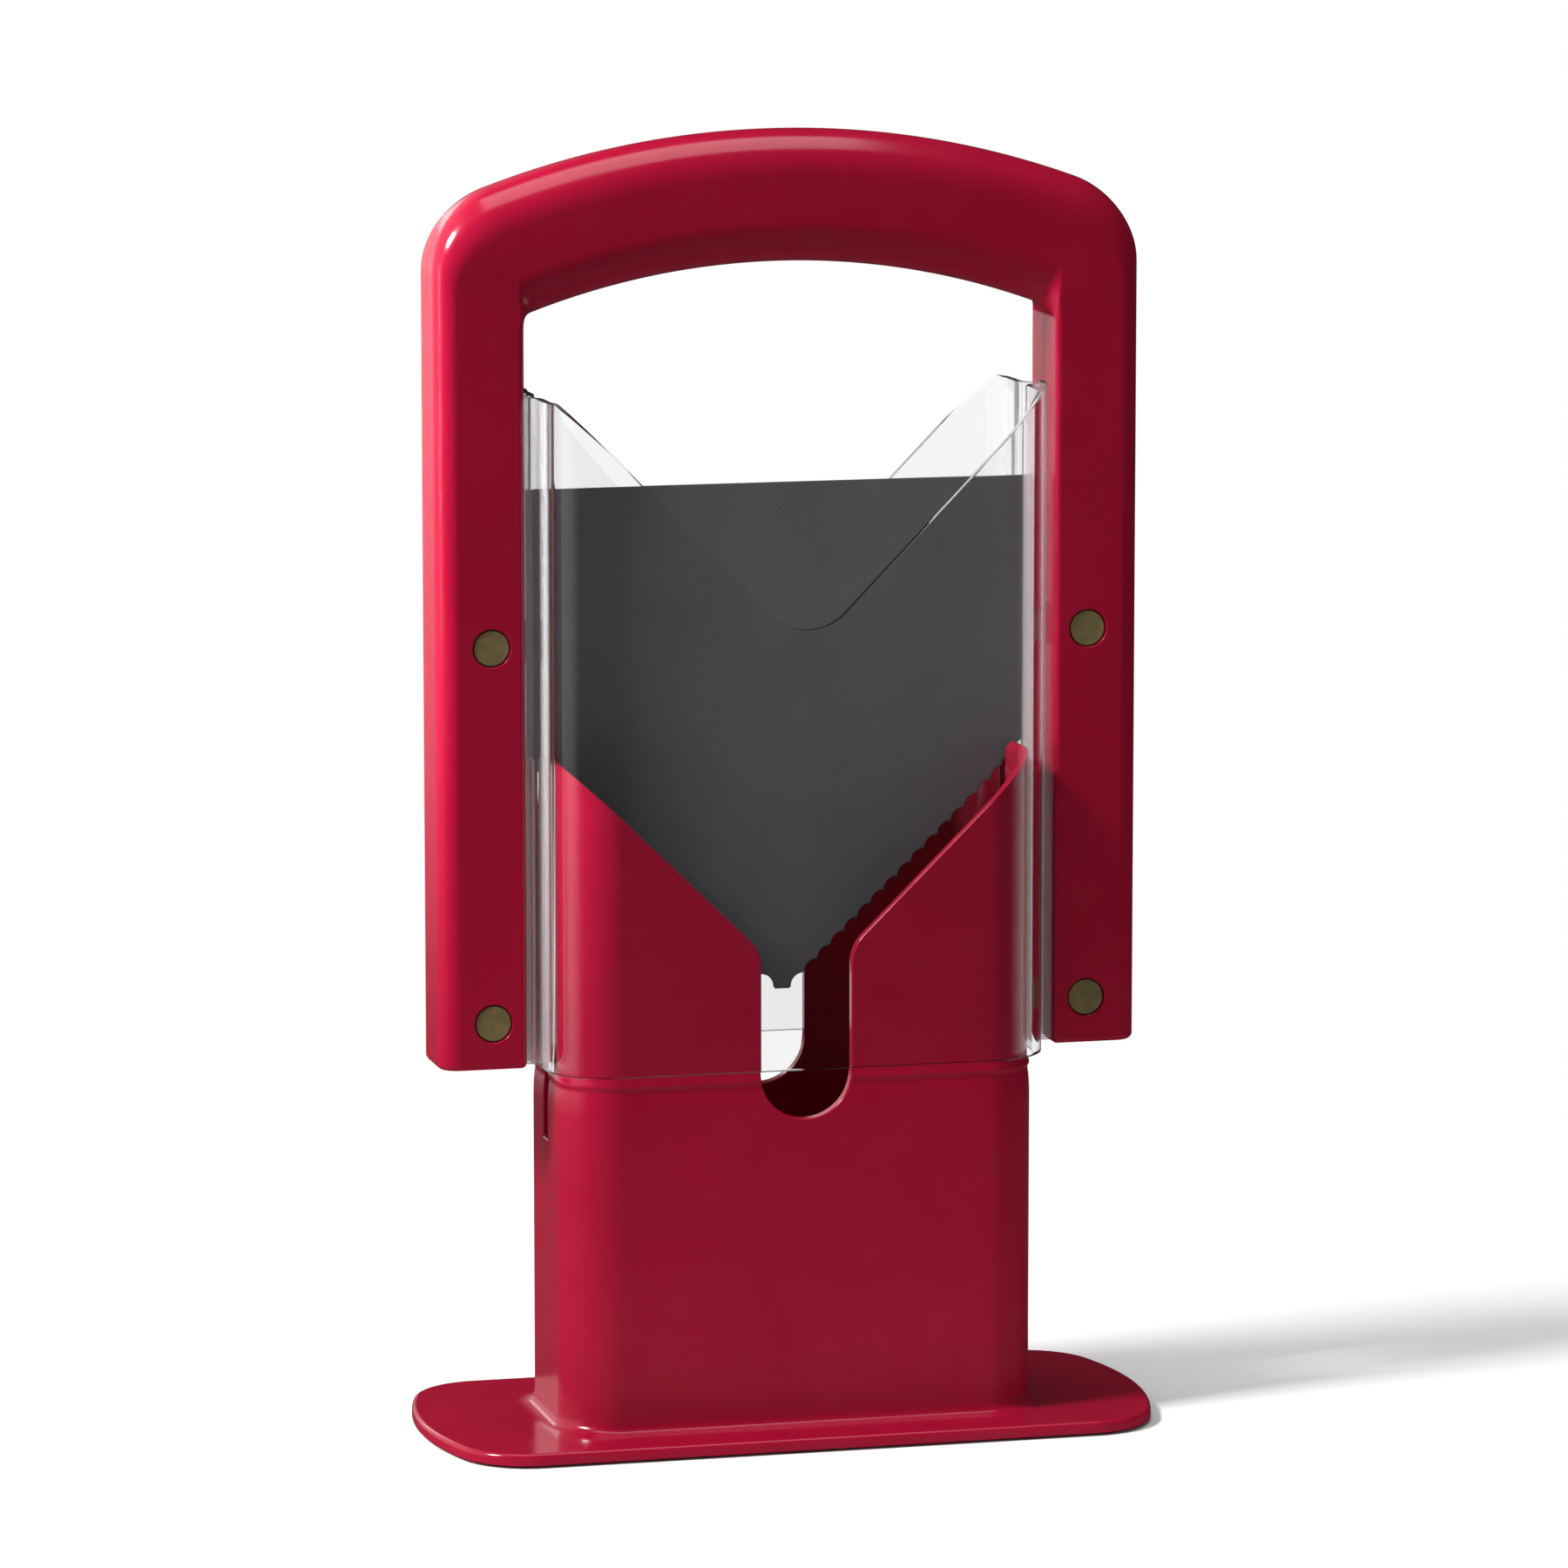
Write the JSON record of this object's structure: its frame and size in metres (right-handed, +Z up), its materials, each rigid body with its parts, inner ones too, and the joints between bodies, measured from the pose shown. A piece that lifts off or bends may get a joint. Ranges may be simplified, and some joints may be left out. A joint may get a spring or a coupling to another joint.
{
  "type": "bagel guillotine slicer",
  "caption": "Hand slicer: a stand that cradles a round roll upright, and an arched-handle carriage with a V blade between clear shields that slides down over it.",
  "frame": {"origin": "middle of the footprint, on the surface that the rubber pads stand on", "axes": "+Z up along the carriage's slide, +X to the right along the blade, -Y towards the front shield"},
  "size_m": [0.178, 0.08, 0.3105],
  "materials": {
    "red_plastic": "glossy moulded ABS",
    "clear_plastic": "clear polished acrylic",
    "coated_steel": "matt non-stick coating on steel",
    "rivet_brass": "dull brass",
    "pad_rubber": "matt rubber"
  },
  "bodies": {
    "stand": {"stand_body": "red_plastic", "foot_pad_front_left": "pad_rubber", "foot_pad_front_right": "pad_rubber", "foot_pad_back_left": "pad_rubber", "foot_pad_back_right": "pad_rubber"},
    "carriage": {"handle_front_shell": "red_plastic", "handle_back_shell": "red_plastic", "blade": "coated_steel", "front_shield": "clear_plastic", "back_shield": "clear_plastic", "rivet_barrel_upper_left": "rivet_brass", "rivet_barrel_upper_right": "rivet_brass", "rivet_barrel_lower_left": "rivet_brass", "rivet_barrel_lower_right": "rivet_brass", "rivet_pin_upper_left": "rivet_brass", "rivet_pin_upper_right": "rivet_brass", "rivet_pin_lower_left": "rivet_brass", "rivet_pin_lower_right": "rivet_brass"}
  },
  "joints": [
    {"name": "carriage_slide", "type": "slide", "parent": "stand", "child": "carriage", "axis": [0, 0, 1], "range_m": [-0.0845, 0.078]}
  ]
}
